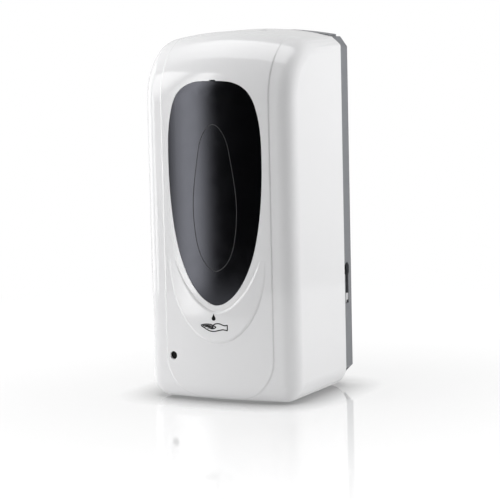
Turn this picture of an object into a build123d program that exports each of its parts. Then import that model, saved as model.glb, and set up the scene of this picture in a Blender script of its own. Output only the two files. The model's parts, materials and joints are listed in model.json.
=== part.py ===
"""Wall mounted touchless soap dispenser, one STEP file for each piece.

Millimetres. X is to the right seen from the front, Y points into the wall, Z is up.
Heights below are measured up from the bottom edge of the cover. On export everything is
moved so that the origin is the middle of the four wall screws, on the wall plane.
"""
import os
from math import acos, cos, pi, sin, sqrt, tan, radians

from build123d import *

os.makedirs("parts", exist_ok=True)

# Outside form of the case
case_width = 120.7
case_height = 268.0
case_depth = 106.0
wall = 2.5
front_bow = 324.0
top_bow = 238.0
top_front_radius = 45.0
side_edge_radius = 13.0
bottom_corner_radius = 14.0
corner_cut_drop = 12.4
corner_cut_rise = 6.2
corner_cut_inset = 6.85
corner_cut_foot = case_height - corner_cut_drop
corner_cut_head = (case_width / 2 - corner_cut_inset, case_height - corner_cut_rise)
corner_soft_radius = 2.5
corner_fade_length = 46.0
corner_fade_inset = 0.9
corner_land = 0.01

# Back plate and its wall screws
plate_depth = 12.6
plate_inset = 0.5
plate_top_step = 0.8
plate_top_bow = 320.0
plate_top = case_height - plate_top_step
plate_lip_inset = 9.35
plate_shoulder_drop = 6.5
plate_cut_inset = 6.05
plate_cut_drop = 14.1
plate_bottom = 6.0
plate_low_cut = 8.0
plate_floor = 2.5
plate_rim = 2.2
mount_height = 160.0
bolt_spacing_x = 84.0
bolt_spacing_z = 120.0
bolt_hole_radius = 2.5
screw_access_radius = 4.5
lead_hole_radius = 4.0
lead_hole_y = -8.0
lead_hole_height = 88.7
lead_hole_tall = 2.5
lead_slot_width = 5.2
lead_slot_foot = 61.8

# Cover
seam = 13.0
ribbon_margin = 16.35
ribbon_half = case_width / 2 - ribbon_margin
ribbon_step = 0.6
ribbon_top_drop = 0.05
ribbon_foot = 2.0
ribbon_corner = 30.0
ribbon_shoulder = 1.5
chin_margin = 3.5
chin_half = ribbon_half - chin_margin
chin_drop = 63.5
chin_height = 106.4
chin_step = 1.4
chin_land = 3.6
chin_shoulder = 2.5
key_hole_radius = 2.75
key_hole_x = 10.0
bottom_opening_margin = 24.35
bottom_opening_half = case_width / 2 - bottom_opening_margin
bottom_opening_y = (-84.0, -28.0)
bottom_opening_corner = 8.0
indicator_margin = 22.75
indicator_x = indicator_margin - case_width / 2
indicator_height = 32.2
indicator_radius = 3.0

# Window, its right half given as shares of its half width and of its height
window_margin = 6.2
window_half = ribbon_half - window_margin
window_foot = 71.0
window_drop = 34.1
window_head = case_height - window_drop
window_shape = (
    (0, 0),
    (0.119, 0.0055),
    (0.265, 0.0246),
    (0.624, 0.130),
    (0.902, 0.344),
    (1, 0.669),
    (0.9, 0.878),
    (0.746, 0.95),
    (0.476, 0.99),
    (0, 1),
)
window_gap = 0.15
window_flange = 7.0
window_flange_thick = 1.5
window_recess = 0.3
window_notch_half = 2.5
window_notch_rise = 0.8
leaf_half = 17.2
leaf_foot = 95.8
leaf_drop = 31.3
leaf_head = window_head - leaf_drop
leaf_shape = (
    (0, 0),
    (0.45, 0.045),
    (0.71, 0.112),
    (0.93, 0.247),
    (1, 0.5),
    (0.745, 0.79),
    (0.51, 0.923),
    (0, 1),
)
leaf_line = 0.7
leaf_line_depth = 0.25
stud_reach = 4.0
stud_points = (3, 5)
stud_radius = 1.5
stud_length = 3.5
stud_hole_gap = 0.1
clip_radius = 3.2
clip_thick = 0.8

# Hinge of the cover
hinge_y = -8.5
hinge_height = 8.0
hinge_pin_radius = 2.0
hinge_boss_radius = 3.8
hinge_lug_inset = 7.85
hinge_lug_width = 4.0
hinge_ear_width = 4.5
hinge_gap = 0.5
hinge_lug_x = (case_width / 2 - hinge_lug_inset - hinge_lug_width, case_width / 2 - hinge_lug_inset)
hinge_ear_x = (hinge_lug_x[0] - hinge_gap - hinge_ear_width, hinge_lug_x[0] - hinge_gap)

# Chassis
frame_back = -13.5
frame_wall = 2.5
frame_foot = 14.0
side_room = 5.85
panel_room = 14.0
frame_half = case_width / 2 - wall - side_room
frame_front = -case_depth + panel_room
bay_step = 7.5
bay_half = frame_half - bay_step
deck = (6.0, 8.5)
shelf = (77.0, 80.0)
post_inset = 3.5
post_heights = (40.0, case_height - 63.0)
post_places = [(frame_half - post_inset, z) for z in post_heights]
post_radius = 4.0
screw_radius = 1.5
screw_head_radius = 3.2
screw_head = 2.2
bulkhead_x = (-26.0, 24.0)
bulkhead_top = 60.0
arm_half = 20.0
arm_drop = 26.0
arm_thick = 3.0
arm_root = 17.0
arm_level = (case_height - arm_drop, case_height - arm_drop + arm_thick)
frame_top = arm_level[0] - 10.0

# Fits
running = 0.05
slide_gap = 0.3

# Pump, motor and outlet
pump_y = -68.8
pump_height = 40.0
gear_module = 1.25
gear_teeth = 12
gear_width = 8.0
gear_addendum = 0.9
gear_thinning = 0.15
pressure_angle = radians(20)
gear_centres = gear_module * gear_teeth
drive_x = -gear_centres / 2
idler_x = gear_centres / 2
shaft_radius = 1.5
pump_half = 19.5
pump_half_height = 12.0
pump_zone = (pump_height - pump_half_height, pump_height + pump_half_height)
pump_back = pump_y + 7.8
pump_cavity_back = pump_y + 4.2
pump_face = pump_y - 4.2
pump_front = pump_face - 3.0
port_radius = 2.5
barb_radius = 4.0
barb_length = 7.0
motor_radius = 12.2
motor_length = 30.5
motor_cap_length = 4.0
motor_boss_radius = 3.9
motor_face = pump_back + frame_wall
motor_rear = motor_face + motor_length
motor_cap_rear = motor_rear + motor_cap_length
seal_radius = 4.0
seal_width = 2.0
seal_back = pump_back - 0.2
bearing_depth = 1.6
pump_screw_radius = 1.2
pump_screw_hole = 1.35

# Tank and cap
tank_half = frame_half
tank_room = 10.0
tank_y = (-case_depth + tank_room, -27.0)
tank_drop = 40.0
tank_zone = (shelf[1] + 0.1, case_height - tank_drop)
tank_weld = tank_zone[1] - 6.0
tank_wall = 1.8
tank_corner = 9.0
tank_edge = 4.0
outlet_radius = 6.5
outlet_bore = 4.0
outlet_length = 10.1
outlet_foot = tank_zone[0] - outlet_length
cup_radius = 11.0
cup_bore = 8.5
cup_depth = 11.0
cup_zone = (shelf[0] - cup_depth, shelf[0])
neck_room = 40.0
neck_y = -case_depth + neck_room
neck_radius = 19.0
neck_bore = 17.0
neck_length = 12.0
neck_top = tank_zone[1] + neck_length
cap_gap = 0.4
cap_radius = neck_radius + cap_gap + 2.1
cap_top = 2.0
gasket_thick = 1.8
gasket_gap = 0.2
cap_zone = (tank_zone[1] + 2.0, neck_top + gasket_gap + gasket_thick + cap_top)
cap_grips = 20

# Batteries
cell_radius = 7.25
cell_length = 50.5
cell_pitch = 15.5
cell_count = 4
cell_y = -13.6
cell_foot = 133.0
box_half = 34.5
box_y = (-22.0, -4.0)
box_zone = (126.0, 192.0)
box_wall = 2.0
door_y = (-24.1, -22.3)
hook_zones = ((135.0, 143.0), (172.0, 180.0))
door_travel = 8.0

# Latch, with its tooth just short of the catch, so that the cover is free
latch_room = 7.0
latch_back = 27.0
key_hole_y = neck_y + latch_back
arm_front = key_hole_y - 4.0
latch_half = 15.0
latch_bar = (arm_level[1] + latch_room, arm_level[1] + latch_room + 3.0)
latch_y = (key_hole_y - 3.0, key_hole_y + 3.0)
latch_foot = 1.5
latch_leg_x = 12.0
latch_leg = 3.6
tooth_half = 5.0
tooth_y = (key_hole_y, key_hole_y + 2.5)
catch_drop = 9.0
catch_foot = case_height - catch_drop
tooth_top = catch_foot - 1.1
catch_y = (latch_y[1] + 0.5, latch_y[1] + 2.5)

# Electrical pieces
panel_half = frame_half - 4.0
panel_zone = (deck[0] + 3.0, shelf[1] - 1.0)
panel_thick = 2.0
panel_screw_x = bay_half - 5.0
panel_screw_places = ((panel_screw_x, deck[1] + 6.0), (panel_screw_x, shelf[0] - 5.0))
panel_screw_radius = 1.4
panel_screw_hole = 1.6
lamp_radius = 2.5
switch_inset = 14.5
switch_x = bay_half - switch_inset
switch_slot = (5.6, 38.0, 48.6)
switch_knob = (5.0, 6.0)
sensor_y = -42.0
sensor_board = (16.0, 17.6)
sensor_half = 15.0
sensor_reach = 7.0
board_half = bay_half - 4.5
board_y = (-20.6, -19.0)
board_zone = (14.0, 70.0)
board_post_heights = (18.0, 66.0)


def block(x, y, z):
    """Box between pairs of x, y and z values."""
    pairs = (x, y, z)
    middle = [(a + b) / 2 for a, b in pairs]
    sizes = [abs(a - b) for a, b in pairs]
    return Pos(*middle) * Box(*sizes)


def rod_x(radius, y, z, span):
    """Cylinder along X."""
    return Pos((span[0] + span[1]) / 2, y, z) * Rot(0, 90, 0) * Cylinder(radius, abs(span[1] - span[0]))


def rod_y(radius, x, z, span):
    """Cylinder along Y."""
    return Pos(x, (span[0] + span[1]) / 2, z) * Rot(90, 0, 0) * Cylinder(radius, abs(span[1] - span[0]))


def rod_z(radius, x, y, span):
    """Cylinder along Z."""
    return Pos(x, y, (span[0] + span[1]) / 2) * Cylinder(radius, abs(span[1] - span[0]))


def forward(outline, y_rear, y_front):
    """Solid from an outline in x and height, reaching from one y value forward to another."""
    return Pos(0, y_rear, 0) * extrude(Plane.XZ * outline, y_rear - y_front)


def sideways(outline, x_from, x_to):
    """Solid from an outline in y and height, reaching from one x value to another."""
    return Pos(x_from, 0, 0) * extrude(Plane.YZ * outline, x_to - x_from)


def bow_drop(radius, x):
    """How far a bow of the given radius falls away at a distance x from its middle."""
    return radius - sqrt(radius**2 - x**2)


def front_y(x, inset=0.0):
    """Where the bowed front lies at x, drawn in by inset."""
    return -case_depth + inset + bow_drop(front_bow - inset, x)


def corner_cut(side, inset):
    """Wedge that takes off a top corner of the case, on the right for side 1."""
    foot = Vector(case_width / 2, corner_cut_foot)
    head = Vector(*corner_cut_head)
    along = (head - foot).normalized()
    out = Vector(along.Y, -along.X)
    low = foot - along * 20 - out * inset
    high = head + along * 20 - out * inset
    corners = [low, high, high + out * 40, low + out * 40]
    outline = make_face(Polyline(*[(side * p.X, p.Y) for p in corners], close=True))
    return forward(outline, 20, -200)


def sharp_edges(solid, rear):
    """Edges ahead of the y value rear at which two faces meet at an angle."""
    sharp = []
    for edge in solid.edges():
        middle = edge @ 0.5
        sides = [f.normal_at(middle) for f in solid.faces() if any(edge.is_same(e) for e in f.edges())]
        if middle.Y < rear - 0.1 and sides[0].dot(sides[1]) < 0.9:
            sharp.append(edge)
    return sharp


def case_form(inset, rear):
    """Closed outside form of the case, drawn in by inset, from the y value rear forward."""
    half = case_width / 2 - inset
    front = -case_depth + inset
    top = case_height - inset
    side_y = front_y(half, inset)
    side_z = top - bow_drop(top_bow - inset, half)
    plan = Polyline((-half, side_y), (-half, rear), (half, rear), (half, side_y))
    plan += ThreePointArc((half, side_y), (0, front), (-half, side_y))
    form = extrude(Pos(0, 0, -10) * make_face(plan), case_height + 20)
    edge = Polyline((-half, side_z), (-half, inset), (half, inset), (half, side_z))
    edge += ThreePointArc((half, side_z), (0, top), (-half, side_z))
    view = make_face(edge)
    view = fillet(view.vertices().sort_by(Axis.Y)[:2], bottom_corner_radius - inset)
    form &= forward(view, rear + 10, -200)
    ridge = form.edges().sort_by_distance((0, front, top))[0]
    form = fillet(ridge, top_front_radius - inset)
    form = fillet(sharp_edges(form, rear), side_edge_radius - inset)
    for side in (-1, 1):
        form -= corner_cut(side, inset)
    return form


def corner_form():
    """Upper body of the case with flat top corners at the rear, which fade out towards the front."""
    half = case_width / 2 - corner_land
    head_x, head_z = corner_cut_head
    foot = corner_cut_foot
    low = foot - 60
    right = [(half, low), (half, foot), (head_x, head_z)]
    left = [(-x, z) for x, z in reversed(right)]
    edge = Polyline(*left, *right)
    edge += ThreePointArc((head_x, head_z), (0, case_height - corner_land), (-head_x, head_z))
    view = make_face(edge)
    view = fillet(view.vertices().sort_by(Axis.Y)[2:], corner_soft_radius)
    rear = Plane.XZ.offset(seam) * view
    front = Plane.XZ.offset(seam + corner_fade_length) * offset(view, -corner_fade_inset)
    return loft([rear, front])


def window_edge(grow):
    """Points up the right half of the window's outline, made larger all round by grow."""
    half = window_half + grow
    tall = window_head - window_foot + 2 * grow
    return [(x * half, window_foot - grow + z * tall) for x, z in window_shape]


def window_outline(grow):
    """Egg-shaped outline of the window, made larger all round by grow."""
    right = window_edge(grow)
    left = [(-x, z) for x, z in reversed(right[1:-1])]
    return make_face(Spline(*right, *left, periodic=True))


def leaf_outline(grow):
    """Leaf-shaped outline on the window, pointed at the foot."""
    half = leaf_half + grow
    tall = leaf_head - leaf_foot + 2 * grow
    right = [(x * half, leaf_foot - grow + z * tall) for x, z in leaf_shape]
    left = [(-x, z) for x, z in reversed(right[:-1])]
    return make_face(Spline(*right, *left))


def stud_places():
    """Places of the window studs on the right half, on the outline of the flange."""
    edge = window_edge(stud_reach)
    return [edge[index] for index in stud_points]


def ribbon_outline():
    """Front ribbon: straight sides and large rounded lower corners, running on over the top."""
    outline = Pos(0, ribbon_foot + 150) * Rectangle(2 * ribbon_half, 300)
    low = outline.vertices().sort_by(Axis.Y)[:2]
    return fillet(low, ribbon_corner)


def chin_outline():
    """Raised chin between the lower half of an ellipse and the lower edge of the window."""
    ellipse = Pos(0, chin_height) * Ellipse(chin_half, chin_drop)
    lower = Pos(0, chin_height - 100) * Rectangle(200, 200)
    return (ellipse & lower) - window_outline(chin_land)


def soften_front(solid, rear, radius):
    """Rounds the sharp edges round the front of a solid, but not those that run back along Y."""
    return fillet([e for e in sharp_edges(solid, rear) if abs((e % 0.5).Y) < 0.9], radius)


def make_front_cover():
    """White cover, open at the rear, with its hinge lugs, catch and window studs."""
    form = case_form(0, -seam)
    ribbon = forward(ribbon_outline(), -40, -200) & (Pos(0, -ribbon_step, -ribbon_top_drop) * form)
    tilt = Pos(0, -case_depth, chin_height) * Rot(-chin_tilt, 0, 0) * Pos(0, case_depth, -chin_height)
    chin = forward(chin_outline(), -60, -200) & (tilt * Pos(0, -ribbon_step, 0) * form)
    chin_end = chin_outline().edges().sort_by(Axis.Y)[-1].length
    shoulder = min(chin_shoulder, 0.4 * chin_end)
    cover = form + corner_form()
    cover += soften_front(ribbon, -40, ribbon_shoulder)
    cover += soften_front(chin, -60, shoulder)
    cover -= case_form(wall, -seam + 10)
    cover -= forward(window_outline(0), -60, -200)
    notch_x = (-window_notch_half, window_notch_half)
    cover -= block(notch_x, (-60, -200), (window_head - 1, window_head + window_notch_rise))
    cover -= rod_y(indicator_radius, indicator_x, indicator_height, (-case_depth - 5, frame_front))
    opening = RectangleRounded(
        2 * bottom_opening_half, bottom_opening_y[1] - bottom_opening_y[0], bottom_opening_corner
    )
    cover -= Pos(0, sum(bottom_opening_y) / 2, -5) * extrude(opening, 12)
    for side in (-1, 1):
        cover -= rod_z(key_hole_radius, side * key_hole_x, key_hole_y, (catch_foot, case_height + 5))
        cover += cover_lug(side)
        for x, z in stud_places():
            inner = front_y(x, wall)
            cover += rod_y(stud_radius, side * x, z, (inner - 1, inner + stud_length))
    cover += block((-tooth_half, tooth_half), catch_y, (catch_foot, case_height - wall + 0.5))
    return cover


def cover_lug(side):
    """Hinge lug on the bottom wall of the cover."""
    reach = 2.7
    outline = make_face(
        Polyline(
            (-26, 2),
            (-26, 4.8),
            (hinge_y - reach, hinge_height + reach),
            (hinge_y + reach, hinge_height - reach),
            (-14, 2),
            close=True,
        )
    )
    lug = sideways(outline, *hinge_lug_x)
    lug += rod_x(hinge_boss_radius, hinge_y, hinge_height, hinge_lug_x)
    lug -= rod_x(hinge_pin_radius + running, hinge_y, hinge_height, (hinge_lug_x[0] - 1, hinge_lug_x[1] + 1))
    return lug if side > 0 else mirror(lug, Plane.YZ)


def make_window():
    """Smoked window: a plug in the opening, a flange behind it and a fine leaf-shaped groove."""
    face = Pos(0, -ribbon_step + window_recess, 0) * case_form(0, -seam)
    behind = case_form(wall + window_flange_thick, -seam + 10)
    plug = (forward(window_outline(-window_gap), -60, -200) & face) - behind
    flange = (forward(window_outline(window_flange), -60, -200) & case_form(wall, -seam)) - behind
    line = leaf_outline(leaf_line / 2) - leaf_outline(-leaf_line / 2)
    groove = forward(line, -60, -200) - (Pos(0, leaf_line_depth, 0) * face)
    window = plug + flange - groove
    for side in (-1, 1):
        for x, z in stud_places():
            window -= rod_y(stud_radius + stud_hole_gap, side * x, z, (-case_depth - 5, frame_front))
    return window


def make_window_clips():
    """Push-on washers that hold the window flange on the studs."""
    clips = []
    for side in (-1, 1):
        for x, z in stud_places():
            seat = front_y(x, wall) + window_flange_thick + 0.5
            ring = rod_y(clip_radius, side * x, z, (seat, seat + clip_thick))
            clips.append(ring - rod_y(stud_radius, side * x, z, (seat - 1, seat + 2)))
    return Compound(clips)


def make_indicator_lens():
    """Dark lens in the round hole low on the left of the front."""
    seat = front_y(indicator_x, wall) + 0.6
    lens = rod_y(indicator_radius - 0.05, indicator_x, indicator_height, (seat - 1.6, seat))
    return lens + rod_y(4.0, indicator_x, indicator_height, (seat, seat + 1.2))


def plate_outline(bottom):
    """Outline of the back plate in x and height: a bowed lip on top, shoulders and cut corners."""
    half = case_width / 2 - plate_inset
    lip = case_width / 2 - plate_lip_inset
    lip_z = plate_top - bow_drop(plate_top_bow, lip)
    shoulder = case_height - plate_shoulder_drop
    right = [
        (half - plate_low_cut, bottom),
        (half, bottom + plate_low_cut),
        (half, case_height - plate_cut_drop),
        (case_width / 2 - plate_cut_inset, shoulder),
        (lip, shoulder),
        (lip, lip_z),
    ]
    left = [(-x, z) for x, z in reversed(right)]
    edge = Polyline(*left, *right)
    edge += ThreePointArc((lip, lip_z), (0, plate_top), (-lip, lip_z))
    return make_face(edge)


def make_back_plate():
    """Grey tray on the wall: floor, rim, posts for the chassis and ears for the hinge pins."""
    plate = forward(plate_outline(plate_bottom), 0, -plate_depth)
    plate -= forward(offset(plate_outline(plate_bottom - 5), -plate_rim), -plate_floor, -30)
    for side in (-1, 1):
        lug_room = (side * (hinge_lug_x[0] - 0.4), side * (hinge_lug_x[1] + 0.7))
        plate -= block(lug_room, (5, -20), (0, 15))
        plate += hinge_ear(side)
        for x, z in post_places:
            post = rod_y(post_radius, side * x, z, (-plate_floor + 0.5, frame_back))
            plate += post - rod_y(screw_radius, side * x, z, (-6, frame_back - 1))
        for z in (-bolt_spacing_z / 2, bolt_spacing_z / 2):
            plate -= rod_y(bolt_hole_radius, side * bolt_spacing_x / 2, mount_height + z, (5, -10))
    rim_x = (case_width / 2 - 8, case_width / 2 + 2)
    hole_foot = lead_hole_height - lead_hole_tall
    plate -= rod_x(lead_hole_radius, lead_hole_y, lead_hole_height, rim_x)
    plate -= rod_x(lead_hole_radius, lead_hole_y, hole_foot, rim_x)
    hole_y = (lead_hole_y - lead_hole_radius, lead_hole_y + lead_hole_radius)
    plate -= block(rim_x, hole_y, (hole_foot, lead_hole_height))
    slot_y = (lead_hole_y - lead_slot_width / 2, lead_hole_y + lead_slot_width / 2)
    plate -= block(rim_x, slot_y, (lead_slot_foot, lead_hole_height))
    return plate


def hinge_ear(side):
    """Ear on the back plate that holds one hinge pin."""
    low = hinge_height - hinge_boss_radius
    ear = rod_x(hinge_boss_radius, hinge_y, hinge_height, hinge_ear_x)
    ear += block(hinge_ear_x, (-1.5, hinge_y), (low, hinge_height + hinge_boss_radius))
    ear += block(hinge_ear_x, (-1.5, -5), (low, 20))
    ear -= rod_x(hinge_pin_radius, hinge_y, hinge_height, (hinge_ear_x[0] - 1, hinge_ear_x[1] + 1))
    return ear if side > 0 else mirror(ear, Plane.YZ)


def make_hinge_pins():
    """Two steel pins, fast in the ears of the back plate."""
    span = (hinge_ear_x[0], hinge_lug_x[1])
    pin = rod_x(hinge_pin_radius, hinge_y, hinge_height, span)
    return Compound([pin, mirror(pin, Plane.YZ)])


def make_chassis():
    """Inner frame: back wall, pump bay, tank shelf, battery box and latch arm in one moulding."""
    wall_y = (frame_back, frame_back - frame_wall)
    bay_y = (frame_back, frame_front)
    frame = block((-frame_half, frame_half), wall_y, (frame_foot, frame_top))
    frame += block((-bay_half, bay_half), wall_y, (deck[0], frame_foot + 6))
    frame += block((-arm_half - 2, arm_half + 2), wall_y, (arm_level[0] - arm_root, arm_level[1]))
    frame += block((-bay_half, bay_half), bay_y, deck)
    frame += block((-bay_half, bay_half), bay_y, shelf)
    frame += block(bulkhead_x, (motor_face, pump_back), (deck[0], bulkhead_top))
    frame += block((-arm_half, arm_half), (frame_back, arm_front), arm_level)
    frame += rod_z(cup_radius, 0, pump_y, cup_zone)
    frame += rod_z(barb_radius, 0, pump_y, (cup_zone[0] - barb_length, cup_zone[0]))
    for side in (-1, 1):
        frame += block((side * (bay_half - 2.5), side * bay_half), bay_y, (deck[0], shelf[1]))
        gusset_z = (arm_level[0] - arm_root, arm_level[0])
        frame += block((side * (arm_half - 2), side * arm_half), (frame_back, frame_back - 11.5), gusset_z)
        frame += rod_z(2.0, side * 20, sensor_y, (deck[0], sensor_board[0]))
        for x, z in panel_screw_places:
            frame += rod_y(3.5, side * x, z, (frame_front, frame_front + 14))
            frame -= rod_y(panel_screw_radius, side * x, z, (frame_front - 1, frame_front + 11))
        for z in board_post_heights:
            frame += rod_y(2.5, side * (board_half - 4), z, (frame_back - 1, board_y[1]))
    frame += battery_box()
    frame -= block(
        (box_wall - box_half, box_half - box_wall),
        (box_y[0] - 5, box_y[1] - 1.8),
        (box_zone[0] + box_wall, box_zone[1] - box_wall),
    )
    # Tank socket, nozzle and sensor openings
    frame -= rod_z(cup_bore, 0, pump_y, (cup_zone[0] + 2, shelf[1] + 1))
    frame -= rod_z(port_radius, 0, pump_y, (cup_zone[0] - barb_length - 1, cup_zone[0] + 3))
    frame -= rod_z(6.5, 0, pump_y, (deck[0] - 1, deck[1] + 1))
    sensor_hole_y = (sensor_y - sensor_reach, sensor_y + sensor_reach)
    frame -= block((-sensor_half, sensor_half), sensor_hole_y, (deck[0] - 1, deck[1] + 1))
    # Motor boss and pump screws
    frame -= rod_y(motor_boss_radius + 0.1, drive_x, pump_height, (motor_face + 1, pump_back - 1))
    for x, z in pump_screw_places():
        frame -= rod_y(pump_screw_radius, x, z, (motor_face + 1, pump_back - 1))
    for side in (-1, 1):
        hole = latch_leg / 2 + slide_gap
        frame -= block(
            (side * latch_leg_x - hole, side * latch_leg_x + hole),
            (key_hole_y - hole, key_hole_y + hole),
            (arm_level[0] - 1, arm_level[1] + 1),
        )
        for x, z in post_places:
            frame -= rod_y(screw_radius + 0.2, side * x, z, (frame_back + 1, frame_back - 5))
        for z in (-bolt_spacing_z / 2, bolt_spacing_z / 2):
            place = (side * bolt_spacing_x / 2, mount_height + z)
            frame -= rod_y(screw_access_radius, *place, (frame_back + 1, frame_back - 5))
    return frame


def battery_box():
    """Battery box before it is hollowed, with the hooks and the ledge for its door."""
    box = block((-box_half, box_half), box_y, box_zone)
    box += block((-30, 30), (box_y[0] + 4, box_y[0]), (box_zone[0] - 2.5, box_zone[0]))
    box += block((-30, 30), (box_y[0], door_y[0] - 0.4), (box_zone[0] - 2.5, box_zone[0] - 0.1))
    for side in (-1, 1):
        for zone in hook_zones:
            outer = (side * (box_half + 0.4), side * (box_half + 2.5))
            lip = (side * (box_half - 2), side * (box_half + 2.5))
            box += block(outer, (frame_back, -25.6), zone)
            box += block(lip, (door_y[0] - 0.4, -25.6), zone)
    return box


def make_battery_door():
    """Door over the cells. It slides up to bring its notches over the hooks."""
    door = block((-box_half, box_half), door_y, box_zone)
    for side in (-1, 1):
        for low, high in hook_zones:
            notch = (low - door_travel - 0.3, high - door_travel + 0.3)
            door -= block((side * (box_half - 2.3), side * (box_half + 1)), (-30, -20), notch)
    for step in range(4):
        z = 152 + 4 * step
        door += block((-14, 14), (door_y[0], door_y[0] - 0.8), (z, z + 1.6))
    return door


def make_cell(index):
    """One battery cell, turned end for end with every second one."""
    x = (index - (cell_count - 1) / 2) * cell_pitch
    nub = 1.3
    up = index % 2 == 0
    head = cell_foot + cell_length
    body = (cell_foot, head - nub) if up else (cell_foot + nub, head)
    tip = (head - nub, head) if up else (cell_foot, cell_foot + nub)
    return rod_z(cell_radius, x, cell_y, body) + rod_z(2.75, x, cell_y, tip)


def make_battery_contacts():
    """Stamped contact plates with a coned spring at both ends of every cell."""
    low = box_zone[0] + box_wall
    high = box_zone[1] - box_wall
    head = cell_foot + cell_length
    sheet = 0.5
    contacts = []
    for index in range(cell_count):
        x = (index - (cell_count - 1) / 2) * cell_pitch
        pad_x = (x - 5.5, x + 5.5)
        pad_y = (cell_y - 5.5, cell_y + 5.5)
        foot_cone = Pos(x, cell_y, (low + cell_foot + sheet) / 2) * Cone(4.5, 2.4, cell_foot - low - sheet)
        head_cone = Pos(x, cell_y, (head + high - sheet) / 2) * Cone(2.4, 4.5, high - sheet - head)
        contacts.append(block(pad_x, pad_y, (low, low + sheet)) + foot_cone)
        contacts.append(block(pad_x, pad_y, (high - sheet, high)) + head_cone)
    return Compound(contacts)


def make_chassis_screws():
    """Four screws that hold the chassis on the posts of the back plate."""
    face = frame_back - frame_wall
    screws = []
    for side in (-1, 1):
        for x, z in post_places:
            screw = rod_y(screw_radius, side * x, z, (-6, face))
            screws.append(screw + rod_y(screw_head_radius, side * x, z, (face, face - screw_head)))
    return Compound(screws)


def tank_form():
    """Whole soap tank with its filling neck and bottom outlet."""
    box = block((-tank_half, tank_half), tank_y, tank_zone)
    box = fillet(box.edges().filter_by(Axis.Z), tank_corner)
    box = fillet(box.faces().sort_by(Axis.Z)[-1].edges(), tank_edge)
    inner_zone = (tank_zone[0] + tank_wall, tank_zone[1] - tank_wall)
    inner_y = (tank_y[0] + tank_wall, tank_y[1] - tank_wall)
    hollow = block((tank_wall - tank_half, tank_half - tank_wall), inner_y, inner_zone)
    hollow = fillet(hollow.edges().filter_by(Axis.Z), tank_corner - tank_wall)
    hollow = fillet(hollow.faces().sort_by(Axis.Z)[-1].edges(), tank_edge - tank_wall)
    tank = box + rod_z(neck_radius, 0, neck_y, (tank_zone[1] - 1, neck_top))
    tank += rod_z(outlet_radius, 0, pump_y, (outlet_foot, tank_zone[0] + 1))
    tank -= hollow
    tank -= rod_z(neck_bore, 0, neck_y, (tank_zone[1] - 5, neck_top + 1))
    tank -= rod_z(outlet_bore, 0, pump_y, (outlet_foot - 1, tank_zone[0] + 5))
    return tank


def above_weld():
    """Space above the weld line of the tank."""
    side = 2 * tank_half
    return block((-side, side), (tank_y[0] - 5, tank_y[1] + 5), (tank_weld, neck_top + 5))


def make_tank():
    """Lower shell of the tank, open at the top, with the outlet."""
    return tank_form() - above_weld()


def make_tank_top():
    """Top of the tank with the filling neck, welded on the lower shell."""
    return tank_form() & above_weld()


def make_tank_cap():
    """Screw cap of the tank with grip ribs round its skirt."""
    cap = rod_z(cap_radius, 0, neck_y, cap_zone)
    for index in range(cap_grips):
        turn = 2 * pi * index / cap_grips
        place = (cap_radius * cos(turn), neck_y + cap_radius * sin(turn))
        cap += rod_z(1.0, *place, (cap_zone[0], cap_zone[1] - 1.5))
    top = cap.faces().sort_by(Axis.Z)[-1]
    cap = chamfer(top.edges(), 0.8)
    return cap - rod_z(neck_radius + cap_gap, 0, neck_y, (cap_zone[0] - 1, cap_zone[1] - cap_top))


def make_cap_gasket():
    """Flat ring under the cap."""
    zone = (neck_top + gasket_gap, cap_zone[1] - cap_top)
    ring = rod_z(neck_radius + cap_gap, 0, neck_y, zone)
    return ring - rod_z(neck_bore, 0, neck_y, (zone[0] - 1, zone[1] + 1))


def make_tank_seal():
    """Rubber ring in the socket of the shelf, round the outlet of the tank."""
    zone = (outlet_foot + 1, outlet_foot + 6)
    ring = rod_z(cup_bore, 0, pump_y, zone)
    return ring - rod_z(outlet_radius + slide_gap, 0, pump_y, (zone[0] - 1, zone[1] + 1))


def flank_angle(radius):
    """Half of a gear tooth's angle at the given radius."""
    pitch = gear_module * gear_teeth / 2
    base = pitch * cos(pressure_angle)
    at_pitch = pi / 2 / gear_teeth - gear_thinning / pitch
    lean = acos(min(1, base / radius))
    return at_pitch + tan(pressure_angle) - pressure_angle - tan(lean) + lean


def make_gear(x, turn):
    """Spur gear of the pump on an axis along Y, with a tooth at the given turn from +X."""
    pitch = gear_module * gear_teeth / 2
    base = pitch * cos(pressure_angle)
    tip = pitch + gear_module * gear_addendum
    root = pitch - gear_module * 1.25

    def polar(radius, angle):
        return (radius * cos(angle), radius * sin(angle))

    radii = [base + (tip - base) * step / 3 for step in range(4)]
    edge = []
    step_angle = 2 * pi / gear_teeth
    for tooth in range(gear_teeth):
        middle = turn + tooth * step_angle
        foot = flank_angle(base)
        rise = [polar(r, middle - flank_angle(r)) for r in radii]
        fall = [polar(r, middle + flank_angle(r)) for r in reversed(radii)]
        root_in = polar(root, middle - foot)
        root_out = polar(root, middle + foot)
        next_in = polar(root, middle + step_angle - foot)
        edge.append(Line(root_in, rise[0]))
        edge.append(Spline(*rise))
        edge.append(ThreePointArc(rise[-1], polar(tip, middle), fall[0]))
        edge.append(Spline(*fall))
        edge.append(Line(fall[-1], root_out))
        edge.append(ThreePointArc(root_out, polar(root, middle + step_angle / 2), next_in))
    outline = Pos(x, pump_height) * make_face(edge)
    rear = pump_cavity_back - 0.2
    return forward(outline, rear, rear - gear_width)


def make_drive_gear():
    """Gear fast on the drive shaft."""
    return make_gear(drive_x, 0) - rod_y(shaft_radius, drive_x, pump_height, (pump_front, motor_face))


def make_idler_gear():
    """Gear that turns freely on its pin."""
    gear = make_gear(idler_x, pi / gear_teeth)
    return gear - rod_y(shaft_radius + running, idler_x, pump_height, (pump_front, motor_face))


def make_drive_shaft():
    """Shaft from the motor through the pump."""
    return rod_y(shaft_radius, drive_x, pump_height, (motor_face + 13.5, pump_face - bearing_depth + 0.2))


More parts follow.
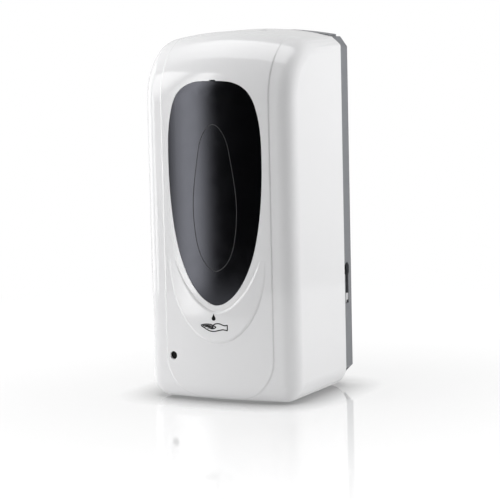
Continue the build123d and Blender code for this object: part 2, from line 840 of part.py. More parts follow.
def make_idler_pin():
    """Fixed pin of the idler gear."""
    return rod_y(shaft_radius, idler_x, pump_height, (pump_back - 1.2, pump_face - bearing_depth))


def pump_screw_places():
    """Places of the four pump screws."""
    low, high = pump_zone
    return [(side * (pump_half - 3), z) for side in (-1, 1) for z in (low + 3, high - 3)]


def make_pump_housing():
    """Pump body with two gear bores, an inlet above and an outlet below."""
    low, high = pump_zone
    body = block((-pump_half, pump_half), (pump_back, pump_face), pump_zone)
    body = fillet(body.edges().filter_by(Axis.Y), 3)
    body += rod_z(barb_radius, 0, pump_y, (high - 1, high + barb_length))
    body += rod_z(barb_radius, 0, pump_y, (low - barb_length, low + 1))
    gear_room = gear_module * (gear_teeth / 2 + gear_addendum) + 0.33
    for x in (drive_x, idler_x):
        body -= rod_y(gear_room, x, pump_height, (pump_cavity_back, pump_face - 1))
    body -= rod_y(shaft_radius + running, drive_x, pump_height, (pump_back + 1, pump_cavity_back - 1))
    body -= rod_y(seal_radius, drive_x, pump_height, (pump_back + 1, seal_back - seal_width))
    body -= rod_y(shaft_radius, idler_x, pump_height, (pump_back - 1.2, pump_cavity_back - 1))
    body -= rod_z(port_radius, 0, pump_y, (pump_height + 4, high + barb_length + 1))
    body -= rod_z(port_radius, 0, pump_y, (low - barb_length - 1, pump_height - 4))
    for x, z in pump_screw_places():
        body -= rod_y(pump_screw_hole, x, z, (pump_back + 1, pump_face - 1))
    return body


def make_pump_plate():
    """End plate of the pump with the front bearings."""
    plate = block((-pump_half, pump_half), (pump_face, pump_front), pump_zone)
    plate = fillet(plate.edges().filter_by(Axis.Y), 3)
    plate -= rod_y(shaft_radius + running, drive_x, pump_height, (pump_face + 1, pump_face - bearing_depth))
    plate -= rod_y(shaft_radius, idler_x, pump_height, (pump_face + 1, pump_face - bearing_depth))
    for x, z in pump_screw_places():
        plate -= rod_y(pump_screw_hole, x, z, (pump_face + 1, pump_front - 1))
    return plate


def make_pump_screws():
    """Four long screws that clamp the pump to the chassis."""
    screws = []
    for x, z in pump_screw_places():
        screw = rod_y(pump_screw_radius, x, z, (motor_face - 0.2, pump_front))
        screws.append(screw + rod_y(2.4, x, z, (pump_front, pump_front - 1.8)))
    return Compound(screws)


def make_shaft_seal():
    """Lip seal round the drive shaft at the rear of the pump."""
    ring = rod_y(seal_radius, drive_x, pump_height, (seal_back, seal_back - seal_width))
    return ring - rod_y(shaft_radius + running, drive_x, pump_height, (pump_back + 1, pump_cavity_back))


def make_motor_can():
    """Steel can of the motor with its front boss."""
    can = rod_y(motor_radius, drive_x, pump_height, (motor_face, motor_rear))
    can += rod_y(motor_boss_radius, drive_x, pump_height, (motor_face + 1, motor_face - 2))
    return can - rod_y(shaft_radius + running, drive_x, pump_height, (motor_face + 14.5, pump_back - 1))


def make_motor_cap():
    """Plastic end cap of the motor with two terminals."""
    cap = rod_y(motor_radius - 0.7, drive_x, pump_height, (motor_rear, motor_cap_rear))
    for side in (-1, 1):
        x = drive_x + side * 8
        tab_y = (motor_cap_rear - 1, motor_cap_rear + 2.5)
        cap += block((x - 0.4, x + 0.4), tab_y, (pump_height - 1.5, pump_height + 1.5))
    return cap


def make_inlet_hose():
    """Short hose from the tank socket to the pump."""
    zone = (pump_zone[1] + 0.2, cup_zone[0] - 0.2)
    hose = rod_z(barb_radius + 1.5, 0, pump_y, zone)
    return hose - rod_z(barb_radius, 0, pump_y, (zone[0] - 1, zone[1] + 1))


def make_nozzle():
    """Soft outlet nozzle, pushed on the pump outlet and standing in the deck."""
    top = pump_zone[0] - 0.2
    foot = pump_zone[0] - barb_length - 0.2
    outline = Polyline(
        (barb_radius, top),
        (6, top),
        (6, deck[1] + 2),
        (7.6, deck[1] + 2),
        (7.6, deck[1]),
        (6, deck[1]),
        (6, deck[0]),
        (4, 2),
        (2, 2),
        (2, foot),
        (barb_radius, foot),
        close=True,
    )
    return Pos(0, pump_y, 0) * revolve(Plane.XZ * make_face(outline), Axis.Z)


def make_sensor_window():
    """Dark window in the deck, over which the sensor looks down."""
    lip = 2.0
    plug_y = (sensor_y - sensor_reach, sensor_y + sensor_reach)
    lip_y = (plug_y[0] - lip, plug_y[1] + lip)
    plug = block((-sensor_half, sensor_half), plug_y, (deck[0] + 0.2, deck[1]))
    return plug + block((-sensor_half - lip, sensor_half + lip), lip_y, (deck[1], deck[1] + 1.2))


def make_sensor_board():
    """Small board above the sensor window."""
    return block((-23, 23), (sensor_y - 8, sensor_y + 8), sensor_board)


def make_sensor_eye(side):
    """Emitter or receiver, domed and looking down."""
    x = side * 8
    low = deck[1] + 4.5
    return rod_z(2.5, x, sensor_y, (low, sensor_board[0])) + Pos(x, sensor_y, low) * Sphere(2.5)


def make_control_board():
    """Main board on the back wall of the pump bay."""
    return block((-board_half, board_half), board_y, board_zone)


def make_board_parts():
    """Components that stand on the main board."""
    face = board_y[0]
    chip = block((14, 26), (face, face - 2), (56, 66))
    store = rod_y(4.0, 31, 46, (face, face - 12))
    driver = block((14, 24), (face, face - 9), (20, 34))
    plug_large = block((-34, -20), (face, face - 7), (58, 66))
    plug_small = block((-14, -6), (face, face - 7), (58, 66))
    return Compound([chip, store, driver, plug_large, plug_small])


def make_power_socket():
    """Coaxial power inlet behind the lead passage of the back plate."""
    outer = case_width / 2 - plate_inset - plate_rim - 0.2
    half = 4.7
    y = lead_hole_y
    zone = (lead_hole_height - 5.5, lead_hole_height + 5.5)
    body = block((outer - 14, outer), (-plate_floor, y - half), zone)
    body -= rod_x(3.0, y, lead_hole_height, (outer - 10, outer + 1))
    return body + rod_x(1.0, y, lead_hole_height, (outer - 11, outer - 1))


def make_lead_grommet():
    """Stepped light-grey piece in the lower end of the lead slot."""
    rim = case_width / 2 - plate_inset
    half = lead_slot_width / 2
    width = (lead_hole_y - half, lead_hole_y + half)
    step = lead_slot_foot + 2.4
    body = block((rim - 3.5, rim - 0.3), width, (step, step + 5.2))
    return body + block((rim - 3.5, rim - 1.4), width, (lead_slot_foot, step))


def make_service_panel():
    """Front panel of the pump bay with the switch slot and the lamp hole."""
    panel = block((-panel_half, panel_half), (frame_front, frame_front - panel_thick), panel_zone)
    panel = fillet(panel.edges().filter_by(Axis.Y), 4)
    width, low, high = switch_slot
    through = (frame_front + 5, frame_front - 8)
    panel -= block((switch_x - width / 2, switch_x + width / 2), through, (low, high))
    panel -= rod_y(lamp_radius, indicator_x, indicator_height, through)
    for side in (-1, 1):
        for x, z in panel_screw_places:
            panel -= rod_y(panel_screw_hole, side * x, z, through)
    return panel


def make_panel_screws():
    """Four screws of the service panel."""
    face = frame_front - panel_thick
    screws = []
    for side in (-1, 1):
        for x, z in panel_screw_places:
            screw = rod_y(panel_screw_radius, side * x, z, (frame_front + 10, face))
            screws.append(screw + rod_y(2.8, side * x, z, (face, face - 1.8)))
    return Compound(screws)


def make_indicator_lamp():
    """Lamp in the service panel behind the indicator lens."""
    face = frame_front - panel_thick
    lamp = rod_y(lamp_radius + 0.4, indicator_x, indicator_height, (frame_front, frame_front + 1))
    lamp += rod_y(lamp_radius, indicator_x, indicator_height, (frame_front + 1, face - 2))
    return lamp + Pos(indicator_x, face - 2, indicator_height) * Sphere(lamp_radius)


def make_switch_body():
    """Body of the power switch behind the panel."""
    width, low, high = switch_slot
    body = block((switch_x - 7, switch_x + 7), (frame_front, frame_front + 9), (low - 2.5, high + 2.5))
    well_x = (switch_x - width / 2, switch_x + width / 2)
    return body - block(well_x, (frame_front - 3, frame_front + 5), (low, high))


def make_switch_knob():
    """Sliding knob of the power switch, in its lower, off place."""
    width, height = switch_knob
    low = switch_slot[1] + slide_gap
    knob_x = (switch_x - width / 2, switch_x + width / 2)
    return block(knob_x, (frame_front + 4.6, frame_front - 5), (low, low + height))


def make_latch():
    """Sprung latch slider with its tooth and two barbed guide legs."""
    latch = block((-latch_half, latch_half), latch_y, latch_bar)
    latch += block((-tooth_half, tooth_half), tooth_y, (latch_bar[0], tooth_top))
    stop = arm_level[0] - 0.1
    half = latch_leg / 2
    for side in (-1, 1):
        leg_x = (side * latch_leg_x - half, side * latch_leg_x + half)
        foot_x = (side * latch_leg_x - half - 1, side * latch_leg_x + half + 1)
        leg_y = (key_hole_y - half, key_hole_y + half)
        latch += block(leg_x, leg_y, (stop - latch_foot, latch_bar[1]))
        latch += block(foot_x, leg_y, (stop - latch_foot, stop))
    return latch


def make_latch_spring():
    """Arched leaf spring between the arm and the latch."""
    low = arm_level[1]
    high = latch_bar[0] - 0.1
    leaf = 0.6
    edge = ThreePointArc((-8, low), (0, high), (8, low))
    edge += Line((8, low), (8 - leaf, low))
    edge += ThreePointArc((8 - leaf, low), (0, high - leaf), (leaf - 8, low))
    edge += Line((leaf - 8, low), (-8, low))
    return forward(make_face(edge), key_hole_y + 2.5, key_hole_y - 2.5)


chin_tilt = 180 / pi * chin_step / chin_drop

pieces = {
    "back_plate": make_back_plate(),
    "chassis": make_chassis(),
    "chassis_screws": make_chassis_screws(),
    "hinge_pins": make_hinge_pins(),
    "lead_grommet": make_lead_grommet(),
    "power_socket": make_power_socket(),
    "battery_contacts": make_battery_contacts(),
    "battery_door": make_battery_door(),
    "control_board": make_control_board(),
    "board_parts": make_board_parts(),
    "sensor_board": make_sensor_board(),
    "sensor_emitter": make_sensor_eye(-1),
    "sensor_receiver": make_sensor_eye(1),
    "sensor_window": make_sensor_window(),
    "motor_can": make_motor_can(),
    "motor_cap": make_motor_cap(),
    "drive_shaft": make_drive_shaft(),
    "drive_gear": make_drive_gear(),
    "idler_gear": make_idler_gear(),
    "idler_pin": make_idler_pin(),
    "pump_housing": make_pump_housing(),
    "pump_plate": make_pump_plate(),
    "pump_screws": make_pump_screws(),
    "shaft_seal": make_shaft_seal(),
    "inlet_hose": make_inlet_hose(),
    "nozzle": make_nozzle(),
    "tank": make_tank(),
    "tank_top": make_tank_top(),
    "tank_cap": make_tank_cap(),
    "cap_gasket": make_cap_gasket(),
    "tank_seal": make_tank_seal(),
    "service_panel": make_service_panel(),
    "panel_screws": make_panel_screws(),
    "indicator_lamp": make_indicator_lamp(),
    "switch_body": make_switch_body(),
    "switch_knob": make_switch_knob(),
    "latch": make_latch(),
    "latch_spring": make_latch_spring(),
    "front_cover": make_front_cover(),
    "window": make_window(),
    "window_clips": make_window_clips(),
    "indicator_lens": make_indicator_lens(),
}
for index in range(cell_count):
    pieces[f"battery_cell_{index + 1}"] = make_cell(index)

for name, piece in pieces.items():
    export_step(Pos(0, 0, -mount_height) * piece, f"parts/{name}.step")
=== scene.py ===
import json
import math

import bpy
from mathutils import Matrix, Vector


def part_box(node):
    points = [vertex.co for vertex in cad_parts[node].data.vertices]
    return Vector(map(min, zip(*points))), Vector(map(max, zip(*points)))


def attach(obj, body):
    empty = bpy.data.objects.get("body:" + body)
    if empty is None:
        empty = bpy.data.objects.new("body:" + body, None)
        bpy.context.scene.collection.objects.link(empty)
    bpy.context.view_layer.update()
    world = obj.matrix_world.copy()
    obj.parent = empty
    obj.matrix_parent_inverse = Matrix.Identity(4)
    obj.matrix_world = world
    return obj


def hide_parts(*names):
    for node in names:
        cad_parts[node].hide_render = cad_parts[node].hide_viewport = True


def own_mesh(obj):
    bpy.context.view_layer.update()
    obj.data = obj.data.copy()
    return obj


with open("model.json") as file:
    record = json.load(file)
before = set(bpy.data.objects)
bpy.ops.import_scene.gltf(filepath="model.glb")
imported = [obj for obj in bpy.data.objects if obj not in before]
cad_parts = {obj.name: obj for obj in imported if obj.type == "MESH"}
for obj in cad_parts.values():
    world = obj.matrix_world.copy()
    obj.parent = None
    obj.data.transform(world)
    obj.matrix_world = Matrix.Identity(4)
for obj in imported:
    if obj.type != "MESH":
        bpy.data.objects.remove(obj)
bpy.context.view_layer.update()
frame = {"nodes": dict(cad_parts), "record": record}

nodes = frame["nodes"]
MM = 0.001

# Cover, in metres: bottom edge, foremost line, radius of its bow, step of the ribbon, set-back of the window
COVER_FOOT = -0.160
FRONT_APEX = -0.106
FRONT_BOW = 0.324
RIBBON_STEP = 0.0006
WINDOW_SET_BACK = 0.0003

# Leaf line: depths between which the floor of its groove lies, top of the leaf, thickness of the inlay
GROOVE_SHALLOW = 0.00015
GROOVE_DEEP = 0.00035
GROOVE_FACING = -0.9
LEAF_HEAD = 0.046
INLAY_THICKNESS = 0.00012

# Printed figure: stroke width in millimetres, then its height over the cover, its thickness and its start
INK_STROKE = 0.8
INK_LIFT = 0.00004
INK_THICKNESS = 0.00006
INK_START = -0.13

# Distance at which points of a copied mesh are one
SAME_POINT = 0.000001

# Camera: turn, tilt and roll in degrees, distance in metres, focal length and image centre in pixels
CAMERA_TURN = 26.43
CAMERA_TILT = 6.08
CAMERA_ROLL = -1.32
CAMERA_DISTANCE = 1.781
CAMERA_AIM = Vector((0, -0.055, -0.026))
FOCAL_PIXELS = 2400
CENTRE_RIGHT = 3.9
CENTRE_DOWN = 38.1
FRAME_PIXELS = 500
SENSOR_WIDTH = 36

# Room: strength of the even fill, and what mirrors show in front of the case and behind it
FILL_STRENGTH = 0.225
ROOM_FRONT = 0.015
ROOM_BACK = 0.73
ROOM_TURN = (-0.55, 0.25)

# Floor, in metres: size and place, then the distances from its middle at which each effect starts and ends
FLOOR_SIDES = 96
FLOOR_RADIUS = 0.62
FLOOR_MIDDLE = -0.06
FLOOR_GAP = 0.0004
CONTACT_REACH = 0.032
BOUNCE_SPAN = (0.04, 0.42)
RIM_SPAN = (0.35, 0.6)
MIRROR_SPAN = (0.05, 0.46)

# Floor strengths: contact shade, bounced light, mirror image, and how much is lit and how much glows
CONTACT_OPEN = (0.4, 1.0)
CONTACT_DARK = 0.2
CONTACT_IN_MIRRORS = 0.6
CONTACT_SAMPLES = 12
BOUNCE_STRENGTH = 0.1
MIRROR_STRENGTH = 0.66
MIRROR_ROUGHNESS = 0.055
FLOOR_GREY = 0.86
LIT_SHARE = 0.28
GLOW_SHARE = 0.88

# Sockets of the Mix node, which share their names: factor, colours or values, and the colour it puts out
FACTOR = 0
COLOUR_A, COLOUR_B, COLOUR_OUT = 6, 7, 2
VALUE_A, VALUE_B = 2, 3

FLOAT = "NodeSocketFloat"
COLOUR = "NodeSocketColor"


# Node helpers

def place(tree, kind, x, y, **values):
    """A node at a place in the tree, with its plain settings and its input values."""
    node = tree.nodes.new(kind)
    node.location = (x, y)
    for key, value in values.items():
        if hasattr(node, key):
            setattr(node, key, value)
        else:
            node.inputs[key.replace("_", " ")].default_value = value
    return node


def ranged(tree, x, y, span, low=0.0, high=1.0, smooth=False):
    """A node that takes the span to the values low and high, straight or smoothly."""
    start, end = span
    way = "SMOOTHSTEP" if smooth else "LINEAR"
    return place(
        tree, "ShaderNodeMapRange", x, y, interpolation_type=way,
        From_Min=start, From_Max=end, To_Min=low, To_Max=high,
    )


def banded(tree, x, y, starts, colours):
    """A ramp of plain colour bands, each from its start to the next."""
    node = place(tree, "ShaderNodeValToRGB", x, y)
    node.color_ramp.interpolation = "CONSTANT"
    bands = node.color_ramp.elements
    for index, (start, colour) in enumerate(zip(starts, colours)):
        band = bands[index] if index < 2 else bands.new(start)
        band.position = start
        band.color = (*colour, 1)
    return node


def new_group(name, inputs, outputs):
    """Empty shader node group with named sockets."""
    group = bpy.data.node_groups.new(name, "ShaderNodeTree")
    for label, kind, value in inputs:
        socket = group.interface.new_socket(name=label, in_out="INPUT", socket_type=kind)
        socket.default_value = value
    for label, kind in outputs:
        group.interface.new_socket(name=label, in_out="OUTPUT", socket_type=kind)
    start = place(group, "NodeGroupInput", -1100, 0)
    end = place(group, "NodeGroupOutput", 700, 0)
    return group, start, end


def moulded_grain():
    """Moulded plastic: faint flow clouds in the colour, uneven gloss and a fine grain."""
    group, start, end = new_group(
        "moulded_grain",
        [
            ("Light", COLOUR, (0.8, 0.8, 0.8, 1)),
            ("Dark", COLOUR, (0.7, 0.7, 0.7, 1)),
            ("Cloud Scale", FLOAT, 30.0),
            ("Grain Scale", FLOAT, 1500.0),
            ("Gloss Low", FLOAT, 0.1),
            ("Gloss High", FLOAT, 0.2),
        ],
        [("Color", COLOUR), ("Roughness", FLOAT), ("Height", FLOAT)],
    )
    link = group.links.new
    where = place(group, "ShaderNodeTexCoord", -1100, -300)
    cloud = place(group, "ShaderNodeTexNoise", -600, 200, Detail=3.0, Roughness=0.55)
    smear = place(group, "ShaderNodeTexNoise", -600, -100, Detail=4.0, Roughness=0.6, Distortion=0.6)
    grain = place(group, "ShaderNodeTexNoise", -600, -400, Detail=2.0, Roughness=0.5)
    finer = place(group, "ShaderNodeMath", -850, -100, operation="MULTIPLY")
    finer.inputs[1].default_value = 2.7
    tint = place(group, "ShaderNodeMix", 200, 200, data_type="RGBA")
    gloss = ranged(group, 200, -100, (0.3, 0.7))
    for texture in (cloud, smear, grain):
        link(where.outputs["Object"], texture.inputs["Vector"])
    link(start.outputs["Cloud Scale"], cloud.inputs["Scale"])
    link(start.outputs["Cloud Scale"], finer.inputs[0])
    link(finer.outputs[0], smear.inputs["Scale"])
    link(start.outputs["Grain Scale"], grain.inputs["Scale"])
    link(cloud.outputs["Fac"], tint.inputs[FACTOR])
    link(start.outputs["Light"], tint.inputs[COLOUR_A])
    link(start.outputs["Dark"], tint.inputs[COLOUR_B])
    link(smear.outputs["Fac"], gloss.inputs["Value"])
    link(start.outputs["Gloss Low"], gloss.inputs["To Min"])
    link(start.outputs["Gloss High"], gloss.inputs["To Max"])
    link(tint.outputs[COLOUR_OUT], end.inputs["Color"])
    link(gloss.outputs[0], end.inputs["Roughness"])
    link(grain.outputs["Fac"], end.inputs["Height"])
    return group


def drawn_metal():
    """Plated metal: fine lines along one axis and dull clouds."""
    group, start, end = new_group(
        "drawn_metal",
        [
            ("Light", COLOUR, (0.7, 0.7, 0.7, 1)),
            ("Dark", COLOUR, (0.5, 0.5, 0.5, 1)),
            ("Line Scale", FLOAT, 400.0),
            ("Gloss Low", FLOAT, 0.2),
            ("Gloss High", FLOAT, 0.4),
        ],
        [("Color", COLOUR), ("Roughness", FLOAT), ("Height", FLOAT)],
    )
    link = group.links.new
    where = place(group, "ShaderNodeTexCoord", -1100, -300)
    stretch = place(group, "ShaderNodeMapping", -800, -300, Scale=(1.0, 0.06, 1.0))
    lines = place(group, "ShaderNodeTexNoise", -500, -300, Detail=3.0, Roughness=0.6)
    cloud = place(group, "ShaderNodeTexNoise", -500, 50, Scale=160.0, Detail=3.0)
    tint = place(group, "ShaderNodeMix", 200, 200, data_type="RGBA")
    gloss = ranged(group, 200, -100, (0.3, 0.7))
    link(where.outputs["Object"], stretch.inputs["Vector"])
    link(where.outputs["Object"], cloud.inputs["Vector"])
    link(stretch.outputs["Vector"], lines.inputs["Vector"])
    link(start.outputs["Line Scale"], lines.inputs["Scale"])
    link(lines.outputs["Fac"], tint.inputs[FACTOR])
    link(start.outputs["Light"], tint.inputs[COLOUR_A])
    link(start.outputs["Dark"], tint.inputs[COLOUR_B])
    link(cloud.outputs["Fac"], gloss.inputs["Value"])
    link(start.outputs["Gloss Low"], gloss.inputs["To Min"])
    link(start.outputs["Gloss High"], gloss.inputs["To Max"])
    link(tint.outputs[COLOUR_OUT], end.inputs["Color"])
    link(gloss.outputs[0], end.inputs["Roughness"])
    link(lines.outputs["Fac"], end.inputs["Height"])
    return group


GRAIN = moulded_grain()
METAL = drawn_metal()


# Finishes

def new_material(name, settings):
    """Material with its shader, and plain values set on the shader's own sockets."""
    material = bpy.data.materials.new(name)
    material.use_nodes = True
    shader = material.node_tree.nodes["Principled BSDF"]
    for key, value in settings.items():
        shader.inputs[key].default_value = value
    return material, material.node_tree, shader


def add_bump(tree, shader, height, depth):
    """Bump of the given depth in metres."""
    bump = place(tree, "ShaderNodeBump", -250, -350, Strength=1.0, Distance=depth)
    tree.links.new(height, bump.inputs["Height"])
    tree.links.new(bump.outputs["Normal"], shader.inputs["Normal"])


def grouped_finish(name, group, values, depth, settings):
    """Finish whose colour, gloss and bump come from a shared node group with its own values."""
    material, tree, shader = new_material(name, settings)
    surface = place(tree, "ShaderNodeGroup", -600, 0, node_tree=group)
    for label, value in values.items():
        surface.inputs[label].default_value = value
    tree.links.new(surface.outputs["Color"], shader.inputs["Base Color"])
    tree.links.new(surface.outputs["Roughness"], shader.inputs["Roughness"])
    if depth:
        add_bump(tree, shader, surface.outputs["Height"], depth)
    return material


def plastic(name, light, dark, gloss, cloud, grain, depth=0.0, **settings):
    """Moulded plastic, rubber, ink or paint."""
    values = {
        "Light": (*light, 1),
        "Dark": (*dark, 1),
        "Cloud Scale": cloud,
        "Grain Scale": grain,
        "Gloss Low": gloss[0],
        "Gloss High": gloss[1],
    }
    return grouped_finish(name, GRAIN, values, depth, settings)


def metal(name, light, dark, gloss, lines, depth):
    """Plated or drawn metal."""
    values = {
        "Light": (*light, 1),
        "Dark": (*dark, 1),
        "Line Scale": lines,
        "Gloss Low": gloss[0],
        "Gloss High": gloss[1],
    }
    return grouped_finish(name, METAL, values, depth, {"Metallic": 1.0})


def circuit_board():
    """Green lacquered board with fine copper tracks and solder points."""
    material, tree, shader = new_material("circuit_board", {"Coat Weight": 0.3, "Coat Roughness": 0.15})
    link = tree.links.new
    where = place(tree, "ShaderNodeTexCoord", -1300, 0)
    tracks = place(
        tree, "ShaderNodeTexVoronoi", -1050, 200,
        distance="MANHATTAN", feature="DISTANCE_TO_EDGE", Scale=180.0,
    )
    points = place(tree, "ShaderNodeTexVoronoi", -1050, -200, Scale=260.0)
    track_line = ranged(tree, -800, 200, (0.03, 0.09))
    point_spot = ranged(tree, -800, -200, (0.16, 0.2))
    green = place(tree, "ShaderNodeMix", -500, 200, data_type="RGBA")
    green.inputs[COLOUR_A].default_value = (0.05, 0.25, 0.08, 1)
    green.inputs[COLOUR_B].default_value = (0.012, 0.11, 0.04, 1)
    solder = place(tree, "ShaderNodeMix", -250, 150, data_type="RGBA")
    solder.inputs[COLOUR_A].default_value = (0.55, 0.55, 0.52, 1)
    rough = ranged(tree, -500, -100, (0.0, 1.0), 0.25, 0.45)
    link(where.outputs["Object"], tracks.inputs["Vector"])
    link(where.outputs["Object"], points.inputs["Vector"])
    link(tracks.outputs["Distance"], track_line.inputs["Value"])
    link(points.outputs["Distance"], point_spot.inputs["Value"])
    link(track_line.outputs[0], green.inputs[FACTOR])
    link(point_spot.outputs[0], solder.inputs[FACTOR])
    link(green.outputs[COLOUR_OUT], solder.inputs[COLOUR_B])
    link(solder.outputs[COLOUR_OUT], shader.inputs["Base Color"])
    link(track_line.outputs[0], rough.inputs["Value"])
    link(rough.outputs[0], shader.inputs["Roughness"])
    add_bump(tree, shader, track_line.outputs[0], 0.00003)
    return material


def cell_jacket():
    """Battery jacket: dark body, a copper band near the head and bare metal ends."""
    material, tree, shader = new_material("cell_jacket", {"Coat Weight": 0.4, "Coat Roughness": 0.1})
    link = tree.links.new
    bare, dark, copper = (0.6, 0.6, 0.58), (0.03, 0.032, 0.04), (0.5, 0.25, 0.11)
    starts = (0.0, 0.045, 0.72, 0.955)
    low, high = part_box("battery_cell_1")
    where = place(tree, "ShaderNodeTexCoord", -1300, 0)
    split = place(tree, "ShaderNodeSeparateXYZ", -1100, 0)
    along = ranged(tree, -900, 0, (low.z, high.z))
    jacket = banded(tree, -650, 150, starts, (bare, dark, copper, bare))
    shine = banded(tree, -650, -150, starts, ((1, 1, 1), (0, 0, 0), (0.85, 0.85, 0.85), (1, 1, 1)))
    scuff = place(tree, "ShaderNodeTexNoise", -650, -450, Scale=500.0, Detail=4.0)
    rough = ranged(tree, -400, -450, (0.0, 1.0), 0.2, 0.42)
    link(where.outputs["Object"], split.inputs["Vector"])
    link(where.outputs["Object"], scuff.inputs["Vector"])
    link(split.outputs["Z"], along.inputs["Value"])
    link(along.outputs[0], jacket.inputs["Fac"])
    link(along.outputs[0], shine.inputs["Fac"])
    link(scuff.outputs["Fac"], rough.inputs["Value"])
    link(jacket.outputs["Color"], shader.inputs["Base Color"])
    link(shine.outputs["Color"], shader.inputs["Metallic"])
    link(rough.outputs[0], shader.inputs["Roughness"])
    return material


finishes = {
    "cover_white": plastic(
        "gloss_white_shell", (0.865, 0.865, 0.873), (0.85, 0.85, 0.858), (0.035, 0.06),
        cloud=22.0, grain=900.0, depth=0.000001,
        **{"Coat Weight": 0.15, "Coat Roughness": 0.04},
    ),
    "smoked": plastic(
        "smoked_window", (0.0016, 0.0016, 0.002), (0.001, 0.001, 0.0013), (0.1, 0.14),
        cloud=26.0, grain=700.0, depth=0.000001,
        **{"IOR": 1.56, "Specular Tint": (0.86, 0.88, 1.0, 1.0)},
    ),
    "plate_grey": plastic(
        "satin_grey_plate", (0.188, 0.194, 0.208), (0.171, 0.177, 0.19), (0.4, 0.52),
        cloud=40.0, grain=2200.0, depth=0.00002,
    ),
    "frame_white": plastic(
        "satin_frame", (0.77, 0.77, 0.755), (0.72, 0.72, 0.705), (0.38, 0.52),
        cloud=35.0, grain=1800.0, depth=0.00002,
    ),
    "light_grey": plastic(
        "light_grey_moulding", (0.56, 0.565, 0.57), (0.51, 0.515, 0.52), (0.36, 0.5),
        cloud=50.0, grain=2000.0, depth=0.00002,
    ),
    "black_plastic": plastic(
        "satin_black", (0.02, 0.02, 0.021), (0.014, 0.014, 0.015), (0.35, 0.5),
        cloud=90.0, grain=2600.0, depth=0.00002,
    ),
    "gear_white": plastic(
        "natural_gear", (0.8, 0.79, 0.755), (0.74, 0.73, 0.69), (0.3, 0.45),
        cloud=90.0, grain=2600.0, depth=0.00001,
        **{"Subsurface Weight": 0.2},
    ),
    "tank_clear": plastic(
        "frosted_tank", (0.86, 0.9, 0.92), (0.8, 0.85, 0.88), (0.3, 0.42),
        cloud=30.0, grain=1600.0, depth=0.00002,
        **{"Transmission Weight": 0.7, "IOR": 1.5},
    ),
    "clear_resin": plastic(
        "clear_resin", (0.8, 0.85, 0.92), (0.74, 0.8, 0.88), (0.04, 0.09),
        cloud=200.0, grain=3000.0,
        **{"Transmission Weight": 0.85, "IOR": 1.52},
    ),
    "dark_resin": plastic(
        "dark_resin", (0.003, 0.0026, 0.0034), (0.0016, 0.0014, 0.002), (0.2, 0.3),
        cloud=120.0, grain=3000.0,
        **{"Specular IOR Level": 0.12},
    ),
    "board_green": circuit_board(),
    "black_rubber": plastic(
        "black_rubber", (0.022, 0.022, 0.022), (0.014, 0.014, 0.014), (0.6, 0.8),
        cloud=150.0, grain=3000.0, depth=0.00004,
    ),
    "soft_rubber": plastic(
        "milky_silicone", (0.66, 0.66, 0.63), (0.6, 0.6, 0.57), (0.35, 0.5),
        cloud=120.0, grain=2500.0, depth=0.00002,
        **{"Subsurface Weight": 0.3, "Transmission Weight": 0.2},
    ),
    "steel": metal(
        "zinc_plated_steel", (0.62, 0.62, 0.63), (0.48, 0.48, 0.5), (0.25, 0.4), lines=600.0, depth=0.00001
    ),
    "plated_steel": metal(
        "nickel_plate", (0.72, 0.7, 0.66), (0.6, 0.58, 0.54), (0.18, 0.3), lines=500.0, depth=0.000008
    ),
    "motor_metal": metal(
        "motor_can_metal", (0.6, 0.6, 0.61), (0.46, 0.46, 0.48), (0.25, 0.42), lines=300.0, depth=0.00001
    ),
    "cell_jacket": cell_jacket(),
}

for part in frame["record"]["subparts"]:
    piece = nodes[part["node"]]
    piece.data.materials.clear()
    piece.data.materials.append(finishes[part["material_slot"]])

print_ink = plastic(
    "black_print_ink", (0.004, 0.004, 0.004), (0.002, 0.002, 0.002), (0.45, 0.6),
    cloud=300.0, grain=3000.0,
    **{"Specular IOR Level": 0.15},
)
leaf_paint = plastic(
    "leaf_line_paint", (0.028, 0.028, 0.031), (0.022, 0.022, 0.025), (0.4, 0.55),
    cloud=200.0, grain=3000.0,
)


# Modelling helpers

def deselect():
    """Nothing selected."""
    bpy.ops.object.select_all(action="DESELECT")


def only(piece):
    """Just this piece selected and active."""
    deselect()
    piece.select_set(True)
    bpy.context.view_layer.objects.active = piece


def apply_all(piece):
    """Applies every modifier of a piece."""
    only(piece)
    for modifier in list(piece.modifiers):
        bpy.ops.object.modifier_apply(modifier=modifier.name)


def settle(piece):
    """Puts the place of a piece into its mesh."""
    only(piece)
    bpy.ops.object.transform_apply(location=True, rotation=True, scale=True)


def turn_outwards():
    """In edit mode: every face turned outwards."""
    bpy.ops.mesh.select_all(action="SELECT")
    bpy.ops.mesh.normals_make_consistent(inside=False)


def node_copy(name):
    """Free copy of a node with its mesh merged."""
    only(nodes[name])
    bpy.ops.object.duplicate()
    piece = bpy.context.view_layer.objects.active
    piece.parent = None
    for key in list(piece.keys()):
        del piece[key]
    bpy.ops.object.mode_set(mode="EDIT")
    bpy.ops.mesh.select_all(action="SELECT")
    bpy.ops.mesh.remove_doubles(threshold=SAME_POINT)
    turn_outwards()
    bpy.ops.object.mode_set(mode="OBJECT")
    return piece


def finish_piece(piece, name, material, body):
    """Names a finished piece, gives it its finish and lets it ride on its body."""
    piece.name = name
    piece.data.name = name
    piece.data.materials.clear()
    piece.data.materials.append(material)
    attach(piece, body)


